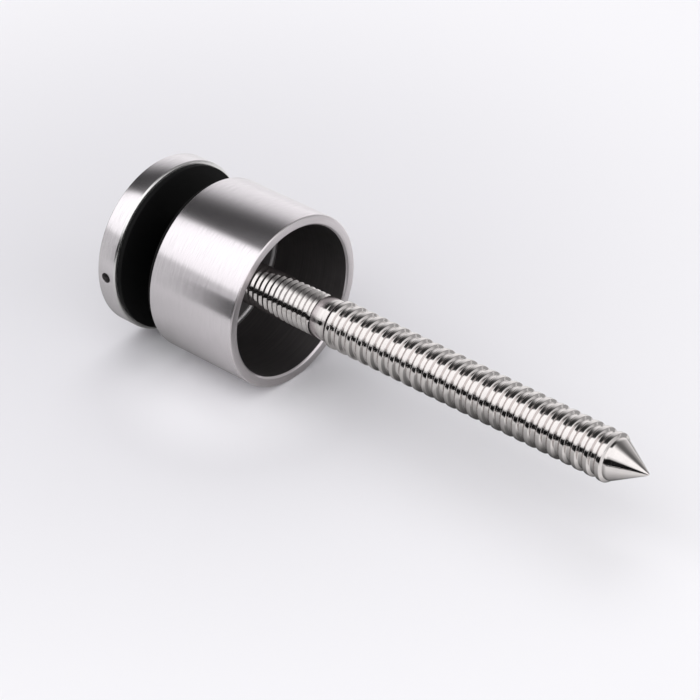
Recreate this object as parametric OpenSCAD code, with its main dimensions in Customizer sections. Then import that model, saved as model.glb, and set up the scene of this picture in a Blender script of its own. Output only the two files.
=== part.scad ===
// Glass panel standoff: a turned barrel on an anchor bolt holds a glass panel off a wall,
// and a screw-on end cap clamps the panel between two rubber washers.
//
// Frame: the X axis is the axis of every turned piece and +X points into the wall.
// The origin is the centre of the barrel's open rear rim, which is the wall plane.

/* [Glass] */
// Clear gap between the two washers, as the cap is set
glass_gap = 10.3; // [8:0.1:13]

/* [End cap] */
// Diameter of the cap
cap_d = 50; // [40:0.5:60]
// Thickness of the cap
cap_t = 6.4; // [6:0.1:12]
// Bevel on the cap's two edges
cap_bevel = 0.4; // [0.2:0.1:1]
// Diameter of the holes in the rim for a tightening bar
bar_hole_d = 3; // [2:0.1:3.6]
// Depth of each of those holes
bar_hole_depth = 5; // [3:0.5:8]
// Number of those holes
bar_hole_count = 2; // [1:4]

/* [Washers] */
// Outer diameter of the two rubber washers
washer_d = 48; // [36:0.5:50]
// Thickness of each rubber washer
washer_t = 1.5; // [0.5:0.1:3]
// Bevel on the washers' edges
washer_bevel = 0.2; // [0.1:0.05:0.25]

/* [Bush] */
// Outer diameter of the bush that lines the hole in the glass
bush_d = 16; // [15:0.5:20]
// Axial play that is left between the bush and the cap's washer
bush_play = 0.3; // [0.1:0.05:1]

/* [Barrel] */
// Outer diameter of the barrel
barrel_d = 50; // [40:0.5:60]
// Length of the barrel, which sets the glass off the wall
barrel_l = 30; // [20:0.5:60]
// Thickness of the barrel's round wall
barrel_wall = 3; // [2:0.1:5]
// Thickness of the web that closes the barrel's front
web_t = 3.3; // [2.5:0.1:8]
// Radius of the corner between wall and web, inside
corner_r = 1; // [0.5:0.1:1.5]
// Bevel on the barrel's outer edges
barrel_bevel = 0.3; // [0.1:0.05:0.6]
// Bevel on the inner edge of the open rim
rim_bevel = 0.5; // [0.2:0.05:0.8]

/* [Anchor bolt] */
// Nominal diameter of the machine thread
shank_d = 12; // [10:0.5:12]
// Bevel at the end of the machine thread
shank_bevel = 1; // [0.5:0.1:1.5]
// Length of machine thread that is screwed into the cap
cap_grip = 4.5; // [3:0.1:4.7]
// Room past the bolt's end, at the bottom of the cap's hole
cap_hole_room = 0.5; // [0.4:0.1:0.8]
// How far the whole bolt reaches past the wall plane
bolt_reach = 119; // [80:1:160]
// How far the plain collar behind the machine thread reaches past the wall plane
collar_reach = 14.4; // [8:0.1:15]
// How far past the wall plane the middle of the first rib lies
first_rib = 17.55; // [17.3:0.05:30]
// Distance from one rib to the next
rib_pitch = 3.75; // [3:0.25:6]
// Diameter over the ribs
rib_d = 13.4; // [12.5:0.1:14]
// Width of a rib's flat top
rib_top_w = 1; // [0.4:0.1:1.4]
// Width of each sloping flank of a rib
rib_flank_w = 0.75; // [0.3:0.05:0.75]
// Diameter of the core between the ribs
core_d = 11.2; // [10.5:0.1:11.5]
// Length of the cone at the tip
tip_l = 9.8; // [6:0.1:14]
// Diameter of that cone at its base
tip_d = 11.7; // [10:0.1:12]
// Diameter of the small flat that blunts the tip
tip_flat_d = 0.5; // [0.3:0.1:1.5]

/* [Fits] */
// Radial clearance of the cap's and barrel's holes on the machine thread
thread_fit = 0.1; // [0.05:0.01:0.1]
// Radial clearance of the bush on the machine thread
sleeve_fit = 0.2; // [0.15:0.05:0.4]
// Radial clearance of the washers on the bush
washer_fit = 0.2; // [0.1:0.05:0.5]

/* [Hidden] */
$fn = 96;

// Planes along the axis, from the wall forwards
barrel_front_x = -barrel_l;
glass_back_x = barrel_front_x - washer_t;
glass_front_x = glass_back_x - glass_gap;
cap_back_x = glass_front_x - washer_t;
cap_front_x = cap_back_x - cap_t;
bolt_front_x = cap_back_x - cap_grip;
web_back_x = barrel_front_x + web_t;

// Holes on the machine thread
thread_hole_d = shank_d + 2 * thread_fit;
sleeve_hole_d = shank_d + 2 * sleeve_fit;
washer_hole_d = bush_d + 2 * washer_fit;
cap_hole_depth = cap_grip + cap_hole_room;
cavity_d = barrel_d - 2 * barrel_wall;
bush_front_x = glass_front_x + bush_play;

// Ribs of the anchor bolt, from the first one to the last that fits before the tip's cone
tip_base_x = bolt_reach - tip_l;
rib_foot = rib_top_w / 2 + rib_flank_w;
rib_count = 1 + floor((tip_base_x - first_rib - rib_foot) / rib_pitch);
// The bolt has more outline than the other pieces, and needs fewer sides for its small diameter
bolt_sides = 40;

// A solid of revolution about the X axis. The outline is drawn as [radius, x].
module turned() {
    rotate([0, 90, 0]) rotate_extrude() children();
}

// Outline of a disc from x0 to x1 with a bevel on both outer edges
module disc_outline(d, x0, x1, bevel) {
    r = d / 2;
    polygon([
        [0, x0], [r - bevel, x0], [r, x0 + bevel],
        [r, x1 - bevel], [r - bevel, x1], [0, x1]
    ]);
}

// Outline of a plain hole from x0 to x1
module hole_outline(d, x0, x1) {
    translate([0, x0]) square([d / 2, x1 - x0]);
}

module washer(x0) {
    turned() difference() {
        disc_outline(washer_d, x0, x0 + washer_t, washer_bevel);
        hole_outline(washer_hole_d, x0 - 1, x0 + washer_t + 1);
    }
}

// Disc with a blind threaded hole at the back and bar holes in its rim
module end_cap() {
    color([0.74, 0.73, 0.73]) difference() {
        turned() difference() {
            disc_outline(cap_d, cap_front_x, cap_back_x, cap_bevel);
            hole_outline(thread_hole_d, cap_back_x - cap_hole_depth, cap_back_x + 1);
        }
        for (i = [0 : bar_hole_count - 1])
            rotate([i * 360 / bar_hole_count, 0, 0])
                translate([(cap_front_x + cap_back_x) / 2, -cap_d / 2 + bar_hole_depth, 0])
                    rotate([90, 0, 0]) cylinder(d = bar_hole_d, h = bar_hole_depth + 1);
    }
}

// Rubber washer between the cap and the glass
module cap_washer() {
    color([0.06, 0.06, 0.06]) washer(cap_back_x);
}

// Rubber washer between the glass and the barrel
module barrel_washer() {
    color([0.06, 0.06, 0.06]) washer(glass_back_x);
}

// Sleeve that keeps the glass off the bolt. It stands on the barrel, inside the barrel's washer.
module glass_bush() {
    color([0.12, 0.12, 0.12]) turned() difference() {
        disc_outline(bush_d, bush_front_x, barrel_front_x, washer_bevel);
        hole_outline(sleeve_hole_d, bush_front_x - 1, barrel_front_x + 1);
    }
}

// Outline of the barrel's hollow, with a rounded corner against the web and a bevelled mouth
module cavity_outline() {
    r = cavity_d / 2;
    hole_outline(cavity_d - 2 * corner_r, web_back_x, 1);
    hole_outline(cavity_d, web_back_x + corner_r, 1);
    translate([r - corner_r, web_back_x + corner_r]) circle(corner_r);
    polygon([[0, -rim_bevel], [r, -rim_bevel], [r + rim_bevel, 0], [r + rim_bevel, 1], [0, 1]]);
}

// Cup with a web at the front, open towards the wall
module barrel() {
    color([0.72, 0.71, 0.71]) turned() difference() {
        disc_outline(barrel_d, barrel_front_x, 0, barrel_bevel);
        cavity_outline();
        hole_outline(thread_hole_d, barrel_front_x - 1, 1);
    }
}

// One rib around x, as four points of the bolt's outline
function rib(x) = [
    [core_d / 2, x - rib_foot], [rib_d / 2, x - rib_top_w / 2],
    [rib_d / 2, x + rib_top_w / 2], [core_d / 2, x + rib_foot]
];

// Machine thread, plain collar, ribbed shank and tip in one turned piece
module anchor_bolt() {
    color([0.80, 0.79, 0.78]) turned($fn = bolt_sides) polygon([
        [0, bolt_front_x], [shank_d / 2 - shank_bevel, bolt_front_x],
        [shank_d / 2, bolt_front_x + shank_bevel],
        [shank_d / 2, collar_reach], [core_d / 2, collar_reach + rib_flank_w],
        for (i = [0 : rib_count - 1]) each rib(first_rib + i * rib_pitch),
        [tip_d / 2, tip_base_x], [tip_flat_d / 2, bolt_reach], [0, bolt_reach]
    ]);
}

end_cap();
cap_washer();
glass_bush();
barrel_washer();
barrel();
anchor_bolt();
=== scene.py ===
import math

import bpy
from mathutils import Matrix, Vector


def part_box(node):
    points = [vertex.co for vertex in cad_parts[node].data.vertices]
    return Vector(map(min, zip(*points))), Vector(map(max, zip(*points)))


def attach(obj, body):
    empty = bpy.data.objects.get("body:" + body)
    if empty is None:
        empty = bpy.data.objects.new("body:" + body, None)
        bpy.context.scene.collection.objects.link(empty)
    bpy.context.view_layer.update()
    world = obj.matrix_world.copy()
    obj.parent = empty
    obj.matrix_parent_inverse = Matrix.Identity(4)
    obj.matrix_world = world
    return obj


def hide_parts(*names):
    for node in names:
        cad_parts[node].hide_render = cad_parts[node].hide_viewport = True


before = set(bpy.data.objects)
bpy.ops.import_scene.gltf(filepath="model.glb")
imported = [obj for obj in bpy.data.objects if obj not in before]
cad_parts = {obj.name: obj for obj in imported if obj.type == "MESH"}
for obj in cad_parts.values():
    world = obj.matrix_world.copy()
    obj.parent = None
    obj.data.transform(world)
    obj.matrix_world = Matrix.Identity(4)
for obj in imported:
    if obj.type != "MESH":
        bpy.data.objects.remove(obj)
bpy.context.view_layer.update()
mm = 0.001


# ---- Barrel ----
# A cup turned from stainless bar, open to the wall, with a thin threaded web at the front.
# Its side is brushed round with an abrasive band and its end faces are left as turned. The bore
# is coloured dark, painted shade, and the round corner at its foot lighter, painted light.

def turned(name, outline, steps=256):
    """Spins a closed outline of (x, radius) points in millimetres once round the X axis."""
    bpy.ops.object.select_all(action="DESELECT")
    bpy.ops.mesh.primitive_circle_add(vertices=len(outline), radius=mm)
    piece = bpy.context.object
    piece.name = piece.data.name = name
    for vertex, (x, r) in zip(piece.data.vertices, outline):
        vertex.co = (x * mm, r * mm, 0)
    bpy.ops.object.mode_set(mode="EDIT")
    bpy.ops.mesh.select_all(action="SELECT")
    bpy.ops.mesh.spin(steps=steps, angle=2 * math.pi, center=(0, 0, 0), axis=(1, 0, 0))
    bpy.ops.mesh.select_all(action="SELECT")
    bpy.ops.mesh.remove_doubles(threshold=0.001 * mm)
    bpy.ops.mesh.delete_loose()
    bpy.ops.mesh.select_all(action="SELECT")
    bpy.ops.mesh.normals_make_consistent(inside=False)
    bpy.ops.object.mode_set(mode="OBJECT")
    return piece


def arc(x, r, radius, start, end, points=6):
    """Points on a round corner about (x, r), with angles in degrees from +X towards the rim."""
    turn = [math.radians(start + (end - start) * i / (points - 1)) for i in range(points)]
    return [(x + radius * math.cos(t), r + radius * math.sin(t)) for t in turn]


def broken_edges(piece, width=0.08, segments=2, angle=30):
    """Rounds every sharp edge by width millimetres and shades the rest smooth."""
    bpy.ops.object.select_all(action="DESELECT")
    piece.select_set(True)
    bpy.context.view_layer.objects.active = piece
    bevel = piece.modifiers.new("broken_edges", "BEVEL")
    bevel.width = width * mm
    bevel.segments = segments
    bevel.limit_method = "ANGLE"
    bevel.angle_limit = math.radians(angle)
    bpy.ops.object.modifier_apply(modifier=bevel.name)
    bpy.ops.object.shade_smooth_by_angle(angle=math.radians(angle))


def groove_group():
    """Fine circular scratches that an abrasive or a cutting tool leaves round the X axis."""
    group = bpy.data.node_groups.new("circular_grooves", "ShaderNodeTree")
    face = group.interface
    face.new_socket("Width mm", in_out="INPUT", socket_type="NodeSocketFloat").default_value = 0.3
    face.new_socket("Around", in_out="INPUT", socket_type="NodeSocketFloat").default_value = 2.0
    face.new_socket("Grooves", in_out="OUTPUT", socket_type="NodeSocketFloat")
    nodes, links = group.nodes, group.links
    given, out = nodes.new("NodeGroupInput"), nodes.new("NodeGroupOutput")
    place = nodes.new("ShaderNodeTexCoord")
    axes = nodes.new("ShaderNodeSeparateXYZ")
    links.new(place.outputs["Object"], axes.inputs[0])
    flat = nodes.new("ShaderNodeCombineXYZ")
    links.new(axes.outputs["Y"], flat.inputs["Y"])
    links.new(axes.outputs["Z"], flat.inputs["Z"])
    radius = nodes.new("ShaderNodeVectorMath"); radius.operation = "LENGTH"
    links.new(flat.outputs[0], radius.inputs[0])
    direction = nodes.new("ShaderNodeVectorMath"); direction.operation = "NORMALIZE"
    links.new(flat.outputs[0], direction.inputs[0])
    around = nodes.new("ShaderNodeVectorMath"); around.operation = "SCALE"
    links.new(direction.outputs[0], around.inputs[0])
    links.new(given.outputs["Around"], around.inputs["Scale"])
    # x + r grows along the side as well as across an end face
    along = nodes.new("ShaderNodeMath"); along.operation = "ADD"
    links.new(axes.outputs["X"], along.inputs[0])
    links.new(radius.outputs["Value"], along.inputs[1])
    metres = nodes.new("ShaderNodeMath"); metres.operation = "MULTIPLY"
    metres.inputs[1].default_value = mm
    links.new(given.outputs["Width mm"], metres.inputs[0])
    scaled = nodes.new("ShaderNodeMath"); scaled.operation = "DIVIDE"
    links.new(along.outputs[0], scaled.inputs[0])
    links.new(metres.outputs[0], scaled.inputs[1])
    shift = nodes.new("ShaderNodeCombineXYZ")
    links.new(scaled.outputs[0], shift.inputs["X"])
    spot = nodes.new("ShaderNodeVectorMath"); spot.operation = "ADD"
    links.new(shift.outputs[0], spot.inputs[0])
    links.new(around.outputs[0], spot.inputs[1])
    noise = nodes.new("ShaderNodeTexNoise")
    noise.inputs["Scale"].default_value = 1.0
    noise.inputs["Detail"].default_value = 3.0
    noise.inputs["Roughness"].default_value = 0.65
    links.new(spot.outputs[0], noise.inputs["Vector"])
    links.new(noise.outputs["Fac"], out.inputs["Grooves"])
    return group


def map_range(tree, value, low, high, to_low=0.0, to_high=1.0, smooth=False):
    """Carries a value from the range low..high to another range, and stops at its ends."""
    node = tree.nodes.new("ShaderNodeMapRange")
    if smooth:
        node.interpolation_type = "SMOOTHSTEP"
    node.inputs["From Min"].default_value = low
    node.inputs["From Max"].default_value = high
    node.inputs["To Min"].default_value = to_low
    node.inputs["To Max"].default_value = to_high
    tree.links.new(value, node.inputs["Value"])
    return node.outputs[0]


def mix_colour(tree, factor, first, second):
    """Mixes two colours by a mask. Each is the output of a node or three plain values."""
    node = tree.nodes.new("ShaderNodeMix"); node.data_type = "RGBA"
    tree.links.new(factor, node.inputs["Factor"])
    for name, colour in (("A", first), ("B", second)):
        if isinstance(colour, tuple):
            node.inputs[name].default_value = (*colour, 1)
        else:
            tree.links.new(colour, node.inputs[name])
    return node.outputs["Result"]


def fine_relief(tree, mask, hollow_roughness, ridge_roughness, depth):
    """Lets a mask raise ridges of up to depth millimetres and vary the roughness with them."""
    shader = tree.nodes["Principled BSDF"]
    gloss = map_range(tree, mask, 0, 1, hollow_roughness, ridge_roughness)
    tree.links.new(gloss, shader.inputs["Roughness"])
    bump = tree.nodes.new("ShaderNodeBump")
    bump.inputs["Strength"].default_value = 1.0
    bump.inputs["Distance"].default_value = depth * mm
    tree.links.new(mask, bump.inputs["Height"])
    tree.links.new(bump.outputs[0], shader.inputs["Normal"])


circular_grooves = groove_group()


def steel(name, colour, shade, roughness, spread, anisotropy, width, around, depth):
    """Stainless steel worked round the X axis: base colour, its darker shade and groove sizes."""
    material = bpy.data.materials.new(name)
    material.use_nodes = True
    tree = material.node_tree
    shader = tree.nodes["Principled BSDF"]
    shader.inputs["Metallic"].default_value = 1.0
    shader.inputs["Anisotropic"].default_value = anisotropy
    shader.inputs["Anisotropic Rotation"].default_value = 0.25
    tangent = tree.nodes.new("ShaderNodeTangent")
    tangent.direction_type = "RADIAL"
    tangent.axis = "X"
    tree.links.new(tangent.outputs[0], shader.inputs["Tangent"])
    grooves = tree.nodes.new("ShaderNodeGroup")
    grooves.node_tree = circular_grooves
    grooves.inputs["Width mm"].default_value = width
    grooves.inputs["Around"].default_value = around
    tint = mix_colour(tree, grooves.outputs[0], shade, colour)
    tree.links.new(tint, shader.inputs["Base Color"])
    fine_relief(tree, grooves.outputs[0], roughness + spread, roughness - spread, depth)
    return material


barrel_lo, barrel_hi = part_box("barrel")
barrel_front = barrel_lo[0] / mm
barrel_r = barrel_hi[2] / mm
wall, web = 3.0, 3.3
bore_r = barrel_r - wall
web_back = barrel_front + web
edge_bevel, mouth_bevel = 0.3, 0.5
corner = 1.0
thread_hole_r, countersink = 6.1, 0.6
barrel = turned("turned_barrel", [
    (barrel_front, thread_hole_r + countersink),
    (barrel_front, barrel_r - edge_bevel), (barrel_front + edge_bevel, barrel_r),
    (-edge_bevel, barrel_r), (0, barrel_r - edge_bevel),
    (0, bore_r + mouth_bevel), (-mouth_bevel, bore_r),
    *arc(web_back + corner, bore_r - corner, corner, 90, 180),
    (web_back, thread_hole_r + countersink), (web_back - countersink, thread_hole_r),
    (barrel_front + countersink, thread_hole_r),
])
broken_edges(barrel)

brushed_side = steel(
    "brushed_side", colour=(0.865, 0.82, 0.855), shade=(0.63, 0.595, 0.622),
    roughness=0.24, spread=0.05, anisotropy=0.92, width=0.22, around=5.0, depth=0.0005)
turned_face = steel(
    "turned_face", colour=(0.83, 0.78, 0.81), shade=(0.63, 0.59, 0.61),
    roughness=0.32, spread=0.05, anisotropy=0.7, width=0.35, around=4.0, depth=0.0008)
# painted shade: a dark steel for the bore, the web's face inside it and the bar holes, for the
# shade inside them
bore_painted_shade = steel(
    "bore_painted_shade", colour=(0.22, 0.207, 0.21), shade=(0.13, 0.122, 0.125),
    roughness=0.5, spread=0.05, anisotropy=0.3, width=0.5, around=1.0, depth=0.0006)
# painted light: the round corner at the foot of the bore is lighter than the bore, where light from
# the open end falls on it
corner_painted_light = steel(
    "corner_painted_light", colour=(0.6, 0.585, 0.59), shade=(0.36, 0.35, 0.355),
    roughness=0.4, spread=0.1, anisotropy=0.3, width=0.25, around=6.0, depth=0.003)
for material in (brushed_side, turned_face, bore_painted_shade, corner_painted_light):
    barrel.data.materials.append(material)
on_side, on_face, on_bore, on_corner = range(4)
# the bore and the web's face inside it take the painted shade, the round corner between them the
# painted light
for polygon in barrel.data.polygons:
    x, r = polygon.center.x / mm, math.hypot(polygon.center.y, polygon.center.z) / mm
    end_on = abs(polygon.normal.x) > 0.5
    behind_web = x > web_back - 0.01
    if behind_web and x < web_back + corner and bore_r - corner < r < bore_r:
        polygon.material_index = on_corner
    elif r < bore_r + 0.03 and x > barrel_front + 0.1 and not end_on:
        polygon.material_index = on_bore
    elif behind_web and r < bore_r - corner and polygon.normal.x > 0.5:
        polygon.material_index = on_bore
    else:
        polygon.material_index = on_face if end_on else on_side
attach(barrel, "barrel_body")
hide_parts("barrel")


# ---- End cap ----
# A turned disc with a blind threaded hole behind, brushed round its rim like the barrel. Two
# small radial holes take the bar that tightens it.

cap_lo, cap_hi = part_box("end_cap")
cap_front, cap_back, cap_r = cap_lo[0] / mm, cap_hi[0] / mm, cap_hi[2] / mm
cap_middle = (cap_front + cap_back) / 2
cap_bevel = 0.4
cap_hole_floor = cap_back - 5.0
cap = turned("turned_cap", [
    (cap_front, 0), (cap_front, cap_r - cap_bevel), (cap_front + cap_bevel, cap_r),
    (cap_back - cap_bevel, cap_r), (cap_back, cap_r - cap_bevel),
    (cap_back, thread_hole_r + countersink), (cap_back - countersink, thread_hole_r),
    (cap_hole_floor, thread_hole_r), (cap_hole_floor, 0),
])
bar_hole_r, bar_hole_depth, drill_l = 1.5, 5.0, 6.0
for side in (-1, 1):
    bpy.ops.object.select_all(action="DESELECT")
    bpy.ops.mesh.primitive_cylinder_add(
        vertices=48, radius=bar_hole_r * mm, depth=drill_l * mm,
        location=(cap_middle * mm, side * (cap_r - bar_hole_depth + drill_l / 2) * mm, 0),
        rotation=(math.pi / 2, 0, 0))
    drill = bpy.context.object
    cut = cap.modifiers.new("bar_hole", "BOOLEAN")
    cut.operation = "DIFFERENCE"
    cut.solver = "EXACT"
    cut.object = drill
    bpy.ops.object.select_all(action="DESELECT")
    cap.select_set(True)
    bpy.context.view_layer.objects.active = cap
    bpy.ops.object.modifier_apply(modifier=cut.name)
    bpy.data.objects.remove(drill)
broken_edges(cap)

cap_side = steel(
    "cap_side", colour=(0.865, 0.825, 0.855), shade=(0.625, 0.595, 0.618),
    roughness=0.24, spread=0.05, anisotropy=0.92, width=0.22, around=5.0, depth=0.0005)
cap_face = steel(
    "cap_face", colour=(0.77, 0.76, 0.76), shade=(0.66, 0.65, 0.65),
    roughness=0.25, spread=0.05, anisotropy=0.85, width=0.5, around=1.0, depth=0.0005)
for material in (cap_side, cap_face, bore_painted_shade):
    cap.data.materials.append(material)
for polygon in cap.data.polygons:
    x, y, z = polygon.center / mm
    # painted shade: the bar holes take the dark steel of the bore
    drilled = (abs(z) < bar_hole_r and cap_front + 1 < x < cap_back - 1
               and cap_r - bar_hole_depth - 0.2 < abs(y) < cap_r - 0.3)
    end_on = abs(polygon.normal.x) > 0.5
    polygon.material_index = on_bore if drilled else on_face if end_on else on_side
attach(cap, "cap_body")
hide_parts("end_cap")


# ---- Washers ----
# Two flat rings punched from black rubber sheet, one on each side of the glass. Their holes
# clear the bush.

def rubber(name, colour, roughness):
    """Smooth black rubber or nylon with a faint grain."""
    material = bpy.data.materials.new(name)
    material.use_nodes = True
    tree = material.node_tree
    shader = tree.nodes["Principled BSDF"]
    shader.inputs["Base Color"].default_value = (*colour, 1)
    shader.inputs["Specular IOR Level"].default_value = 0.12
    place = tree.nodes.new("ShaderNodeTexCoord")
    noise = tree.nodes.new("ShaderNodeTexNoise")
    noise.inputs["Scale"].default_value = 2500
    noise.inputs["Detail"].default_value = 2
    tree.links.new(place.outputs["Object"], noise.inputs["Vector"])
    fine_relief(tree, noise.outputs["Fac"], roughness - 0.06, roughness + 0.06, 0.01)
    return material


def ring(name, node, hole_r, bevel=0.2, steps=256):
    """A flat ring or sleeve that fills the box of a node, with its outer edges bevelled."""
    lo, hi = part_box(node)
    front, back, r = lo[0] / mm, hi[0] / mm, hi[2] / mm
    piece = turned(name, [
        (front, hole_r), (front, r - bevel), (front + bevel, r),
        (back - bevel, r), (back, r - bevel), (back, hole_r)], steps)
    broken_edges(piece)
    return piece


washer_rubber = rubber("washer_rubber", (0.003, 0.003, 0.0032), 0.6)
washer_hole_r = 8.2
for node, body in (("cap_washer", "cap_seat"), ("barrel_washer", "front_seat")):
    washer = ring("punched_" + node, node, washer_hole_r)
    washer.data.materials.append(washer_rubber)
    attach(washer, body)
    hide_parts(node)


# ---- Bush ----
# A black nylon sleeve on the bolt, which keeps the edge of the glass off the steel. It stands
# on the barrel's front face, inside the washer.

sleeve_hole_r = 6.4
bush = ring("nylon_bush", "glass_bush", sleeve_hole_r, steps=128)
bush_plastic = rubber("bush_plastic", (0.02, 0.02, 0.021), 0.4)
bush.data.materials.append(bush_plastic)
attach(bush, "front_seat")
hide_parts("glass_bush")


# ---- Anchor bolt ----
# One bright stainless bolt. A rolled machine thread at the front takes the barrel and the cap;
# behind a short plain collar, closed round ribs run as far as the cone of the tip.

def helix(name, profile, lead, start, end, steps):
    """Screws a profile of (x, radius) points, one lead long, round the X axis."""
    bpy.ops.object.select_all(action="DESELECT")
    bpy.ops.mesh.primitive_plane_add(size=mm)
    bpy.ops.object.mode_set(mode="EDIT")
    bpy.ops.mesh.select_all(action="SELECT")
    bpy.ops.mesh.merge(type="CENTER")
    bpy.ops.object.mode_set(mode="OBJECT")
    piece = bpy.context.object
    piece.name = piece.data.name = name
    first_x, first_r = profile[0]
    piece.data.vertices[0].co = ((start - lead + first_x) * mm, first_r * mm, 0)
    bpy.ops.object.mode_set(mode="EDIT")
    bpy.ops.mesh.select_all(action="SELECT")
    for (x0, r0), (x1, r1) in zip(profile, profile[1:]):
        bpy.ops.mesh.extrude_region_move(
            TRANSFORM_OT_translate={"value": ((x1 - x0) * mm, (r1 - r0) * mm, 0)})
    bpy.ops.object.mode_set(mode="OBJECT")
    screw = piece.modifiers.new("thread", "SCREW")
    screw.axis = "X"
    screw.angle = 2 * math.pi
    screw.screw_offset = lead * mm
    screw.iterations = math.ceil((end - start) / lead) + 2
    screw.steps = screw.render_steps = steps
    bpy.ops.object.modifier_apply(modifier=screw.name)
    bpy.ops.object.mode_set(mode="EDIT")
    bpy.ops.mesh.select_all(action="SELECT")
    bpy.ops.mesh.remove_doubles(threshold=0.001 * mm)
    for x, inner, outer in ((start, True, False), (end, False, True)):
        bpy.ops.mesh.select_all(action="SELECT")
        bpy.ops.mesh.bisect(plane_co=(x * mm, 0, 0), plane_no=(1, 0, 0), use_fill=True,
                            clear_inner=inner, clear_outer=outer)
    bpy.ops.mesh.select_all(action="SELECT")
    bpy.ops.mesh.normals_make_consistent(inside=False)
    bpy.ops.object.mode_set(mode="OBJECT")
    return piece


def ease(t):
    """Rises smoothly from 0 to 1 as t does."""
    t = min(max(t, 0), 1)
    return t * t * (3 - 2 * t)


def softened(points, cut, steps=3):
    """Rounds the inner corners of an open outline. Each leg is cut by up to cut millimetres."""
    points = [Vector(point) for point in points]
    soft = [points[0]]
    for before, at, after in zip(points, points[1:], points[2:]):
        start, end = before - at, after - at
        start = at + start * min(cut / start.length, 0.5)
        end = at + end * min(cut / end.length, 0.5)
        for i in range(steps + 1):
            t = i / steps
            soft.append(start * (1 - t) ** 2 + at * 2 * t * (1 - t) + end * t * t)
    return [tuple(point) for point in soft + [points[-1]]]


bolt_lo, bolt_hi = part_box("anchor_bolt")
bolt_front, bolt_tip = bolt_lo[0] / mm, bolt_hi[0] / mm

# machine thread, which fades into the plain shank behind it
shank_r, shank_bevel = 6.0, 1.0
pitch, thread_depth = 1.75, 0.65
thread_root = shank_r - thread_depth
half_root, half_crest = 0.06, 0.08
thread_end, fade_start, fade_l = 11.0, 10.0, 0.9
machine = helix("machine_thread", softened([
    (0, thread_root), (half_root, thread_root), (pitch / 2 - half_crest, shank_r),
    (pitch / 2 + half_crest, shank_r), (pitch - half_root, thread_root), (pitch, thread_root),
], 0.12, 2), pitch, bolt_front, thread_end, 96)
for vertex in machine.data.vertices:
    x, r = vertex.co.x / mm, math.hypot(vertex.co.y, vertex.co.z) / mm
    if r > 1:
        faded = r + (shank_r - r) * ease((x - fade_start) / fade_l)
        new_r = min(faded, shank_r - shank_bevel + (x - bolt_front))
        vertex.co.y *= new_r / r
        vertex.co.z *= new_r / r

# collar, ribs and tip
rib_r, core_r, rib_pitch = 6.8, 5.85, 3.75
rib_top, rear_flank, front_flank = 1.25, 0.46, 0.95
collar_end, first_rib = 14.4, 17.55
tip_l, tip_base_r = 9.8, 5.85
tip_base = bolt_tip - tip_l
rib_count = 1 + math.floor((tip_base - first_rib - rib_top / 2 - rear_flank) / rib_pitch)
ribs = [(collar_end - 1, shank_r), (collar_end, shank_r), (collar_end + 0.3, core_r)]
for rib in range(rib_count):
    middle = first_rib + rib * rib_pitch
    front, rear = middle - rib_top / 2, middle + rib_top / 2
    ribs += [(front - front_flank, core_r), (front, rib_r),
             (rear, rib_r), (rear + rear_flank, core_r)]
tip = [
    (tip_base - 1.2, core_r), (tip_base - 0.3, tip_base_r), (tip_base + 0.3, tip_base_r - 0.1),
    (bolt_tip - 0.15, 0.35), (bolt_tip, 0.1)]
ribbed = turned("ribbed_shank", [
    (thread_end, 0), (thread_end, shank_r),
    *softened(ribs, 0.16), *softened(tip, 0.4), (bolt_tip, 0)], 96)
bpy.ops.object.select_all(action="DESELECT")
for part in (machine, ribbed):
    part.select_set(True)
bpy.context.view_layer.objects.active = machine
bpy.ops.object.join()
bolt = machine
bolt.name = bolt.data.name = "rolled_bolt"
bpy.ops.object.shade_smooth_by_angle(angle=math.radians(35))
bright_bolt = steel(
    "bright_bolt", colour=(0.73, 0.695, 0.685), shade=(0.615, 0.582, 0.575),
    roughness=0.12, spread=0.04, anisotropy=0.2, width=0.8, around=2.0, depth=0.001)
bolt.data.materials.append(bright_bolt)
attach(bolt, "bolt")
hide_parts("anchor_bolt")


# ---- Table ----
# The standoff lies on its side on a pale matt table. Only in the steel's reflections, the table
# shows painted shade in strips under and beside the standoff and painted light under the tip and
# round the rim.

def grey_ramp(tree, value, unit, low, high, stops):
    """Grey levels along a measure. Stops are (measure, level) pairs from low to high, in units."""
    ramp = tree.nodes.new("ShaderNodeValToRGB")
    elements = ramp.color_ramp.elements
    for i, (measure, level) in enumerate(stops):
        position = (measure - low) / (high - low)
        element = elements[i] if i < 2 else elements.new(position)
        element.position = position
        element.color = (level, level, level, 1)
    tree.links.new(map_range(tree, value, low * unit, high * unit), ramp.inputs["Fac"])
    return ramp.outputs[0]


bpy.ops.object.select_all(action="DESELECT")
bpy.ops.mesh.primitive_plane_add(size=6, location=(0, 0, 0))
floor = bpy.context.object
floor.name = "table"
for vertex in floor.data.vertices:
    vertex.co.z = -barrel_r * mm
table_paint = bpy.data.materials.new("table_paint")
table_paint.use_nodes = True
tree = table_paint.node_tree
shader = tree.nodes["Principled BSDF"]
place = tree.nodes.new("ShaderNodeTexCoord")
axes = tree.nodes.new("ShaderNodeSeparateXYZ")
tree.links.new(place.outputs["Object"], axes.inputs[0])

# in reflections only: painted shade in strips across the table, darkest under the standoff, and
# painted light under the tip and round the rim
reflected_shade = grey_ramp(tree, axes.outputs["Y"], mm, -100, 100, [
    (-98, 0.64), (-53, 0.54), (-31, 0.46), (-21, 0.4), (-9, 0.24), (2, 0.1),
    (16, 0.08), (31, 0.12), (39, 0.4), (75, 0.9)])
reflected_light = grey_ramp(tree, axes.outputs["X"], mm, -100, 200, [
    (-60, 0.05), (-25, 0.25), (8, 0.42), (30, 0.4), (37, 0), (102, 0), (125, 0.95)])
painted_reflection = mix_colour(tree, reflected_light, reflected_shade, (0.95, 0.95, 0.95))


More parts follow.
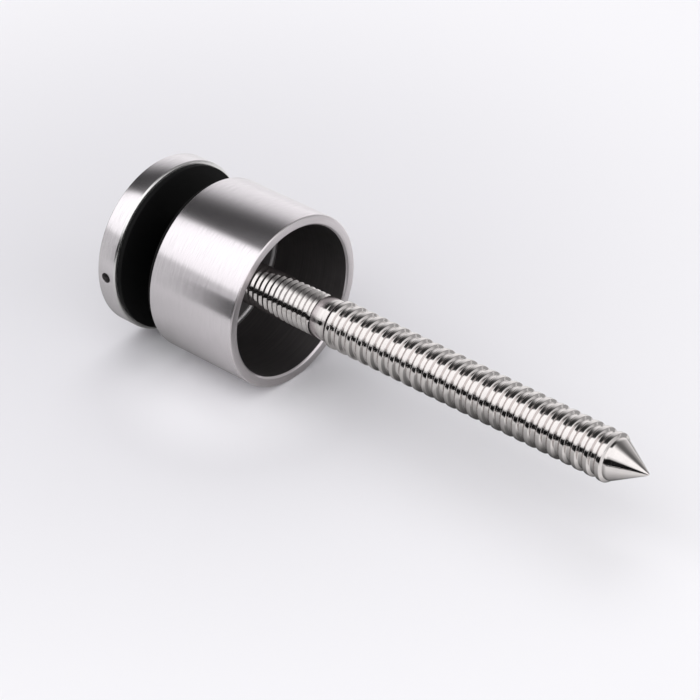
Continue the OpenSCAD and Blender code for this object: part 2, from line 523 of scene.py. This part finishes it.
def nearness(point, near, far, at_near, at_far):
    """Goes from one value near a point of the table to another far from it, in metres."""
    gap = tree.nodes.new("ShaderNodeVectorMath"); gap.operation = "DISTANCE"
    tree.links.new(place.outputs["Object"], gap.inputs[0])
    gap.inputs[1].default_value = point
    return map_range(tree, gap.outputs["Value"], near, far, at_near, at_far, smooth=True)


# seen directly: a little deeper in tone round the barrel, painted shade, and paler in the barrel's
# own shadow, painted light that lifts it
away = nearness((-0.07, 0.02, -0.025), 0.03, 0.23, 0, 1)
painted_floor_tone = mix_colour(tree, away, (0.745, 0.735, 0.77), (0.89, 0.88, 0.91))
painted_shadow_lift = nearness((-0.008, -0.016, -0.025), 0.012, 0.038, 1, 0)
painted_floor_tone = mix_colour(tree, painted_shadow_lift, painted_floor_tone, (0.95, 0.94, 0.975))
seen = tree.nodes.new("ShaderNodeLightPath")
paint = mix_colour(tree, seen.outputs["Is Camera Ray"], painted_reflection, painted_floor_tone)
tree.links.new(paint, shader.inputs["Base Color"])
shader.inputs["Roughness"].default_value = 0.6
shader.inputs["Specular IOR Level"].default_value = 0
floor.data.materials.append(table_paint)


# ---- Studio ----
# A broad overhead softbox and dark gaps beside it run along the standoff, so that its round
# sides show long clean bands. The bands change a little from one end to the other.

world = bpy.data.worlds.new("studio")
bpy.context.scene.world = world
world.use_nodes = True
tree = world.node_tree
background = tree.nodes["Background"]
place = tree.nodes.new("ShaderNodeTexCoord")
axes = tree.nodes.new("ShaderNodeSeparateXYZ")
tree.links.new(place.outputs["Generated"], axes.inputs[0])
roll = tree.nodes.new("ShaderNodeMath"); roll.operation = "ARCTAN2"
tree.links.new(axes.outputs["Y"], roll.inputs[0])
tree.links.new(axes.outputs["Z"], roll.inputs[1])


def light_bands(stops):
    """Brightness round the X axis. Angles are in degrees from straight up, and +Y is at 90."""
    return grey_ramp(tree, roll.outputs[0], math.radians(1), -180, 180, stops)


def between(first, second, low, high):
    """Eases from one set of bands to another as a direction swings from x = low to x = high."""
    swing = map_range(tree, axes.outputs["X"], low, high, smooth=True)
    return mix_colour(tree, swing, first, second)


# straight back past the cap, over the cap's end, over the tip's end, and straight past the tip
bands_behind = light_bands([
    (-180, 0.3), (-72, 0.4), (-64, 1.0), (-16, 1.0), (-8, 0.05), (60, 0.06), (90, 0.12),
    (180, 0.1)])
bands_front = light_bands([
    (-180, 0.55), (-93, 0.62), (-91, 0.55), (-71, 0.50), (-66, 1.0), (-50, 1.06), (-30, 1.12),
    (-14, 1.12), (-9, 0.06), (2, 0.02), (16, 0.03), (25, 0.06), (35, 0.18), (46, 0.48),
    (60, 0.75), (90, 0.92), (180, 0.6)])
bands_rear = light_bands([
    (-180, 0.55), (-93, 0.5), (-91, 0.45), (-65, 0.45), (-57, 0.8), (-52, 1.08), (-4, 1.12),
    (3, 0.8), (12, 0.35), (22, 0.12), (36, 0.12), (46, 0.19), (56, 0.29), (75, 0.37),
    (95, 0.32), (180, 0.3)])
bands_ahead = light_bands([
    (-180, 0.6), (-100, 0.9), (-66, 1.1), (0, 1.1), (40, 0.95), (65, 0.6), (100, 0.5),
    (180, 0.4)])
bands = between(bands_behind, bands_front, -0.93, -0.78)
bands = between(bands, bands_rear, -0.25, 0.2)
bands = between(bands, bands_ahead, 0.62, 0.74)
seen = tree.nodes.new("ShaderNodeLightPath")
backdrop = (0.64, 0.63, 0.66)
sky = mix_colour(tree, seen.outputs["Is Camera Ray"], bands, backdrop)
tree.links.new(sky, background.inputs["Color"])
background.inputs["Strength"].default_value = 1.3


# ---- Reflector cards ----
# Paper cards seen only in the steel. Black ones beside and ahead of the bolt draw the dark line
# along its ribs, and a grey one on the far side calms the ribs' upper flanks.

def card_paper(name, level):
    paper = bpy.data.materials.new(name)
    paper.use_nodes = True
    shader = paper.node_tree.nodes["Principled BSDF"]
    shader.inputs["Base Color"].default_value = (level, level, level, 1)
    shader.inputs["Specular IOR Level"].default_value = 0
    return paper


black_paper, grey_paper = card_paper("black_paper", 0.004), card_paper("grey_paper", 0.4)
laid = 0.2 - barrel_r
for paper, corners in (
        (black_paper, [(-84, -150, -16), (320, -150, -25), (-84, -150, 33), (320, -150, 80)]),
        (black_paper, [(170, -64, laid), (340, -64, laid), (170, -38, laid), (340, -38, laid)]),
        (black_paper, [(125, -150, laid), (320, -150, laid), (145, -100, laid), (320, -100, laid)]),
        (grey_paper, [(60, 85, laid), (600, 85, laid), (60, 600, laid), (600, 600, laid)])):
    bpy.ops.object.select_all(action="DESELECT")
    bpy.ops.mesh.primitive_plane_add(size=1)
    card = bpy.context.object
    card.name = "reflector_card"
    for vertex, point in zip(card.data.vertices, corners):
        vertex.co = Vector(point) * mm
    card.data.materials.append(paper)
    card.visible_camera = card.visible_diffuse = card.visible_shadow = False


# ---- Lamp and camera ----
# A wide soft lamp lifts the table's level, and its own reflection stays out of the steel. A long
# lens looks down on the open end of the barrel from beside the tip.

lamp_data = bpy.data.lights.new("soft_lamp", "SUN")
lamp_data.energy = 0.9
lamp_data.angle = math.radians(50)
lamp = bpy.data.objects.new("soft_lamp", lamp_data)
bpy.context.scene.collection.objects.link(lamp)
lamp.rotation_euler = (math.radians(-20), math.radians(-25), 0)
lamp.visible_glossy = False

camera_data = bpy.data.cameras.new("camera")
camera = bpy.data.objects.new("camera", camera_data)
bpy.context.scene.collection.objects.link(camera)
camera_data.sensor_width = 36
camera_data.lens = 155.53
camera_data.clip_start = 0.01
camera.location = (0.460612, -0.503585, 0.448164)
camera.rotation_euler = (math.radians(55.7875), 0, math.radians(41.17))
bpy.context.scene.camera = camera
bpy.context.scene.view_settings.view_transform = "Standard"
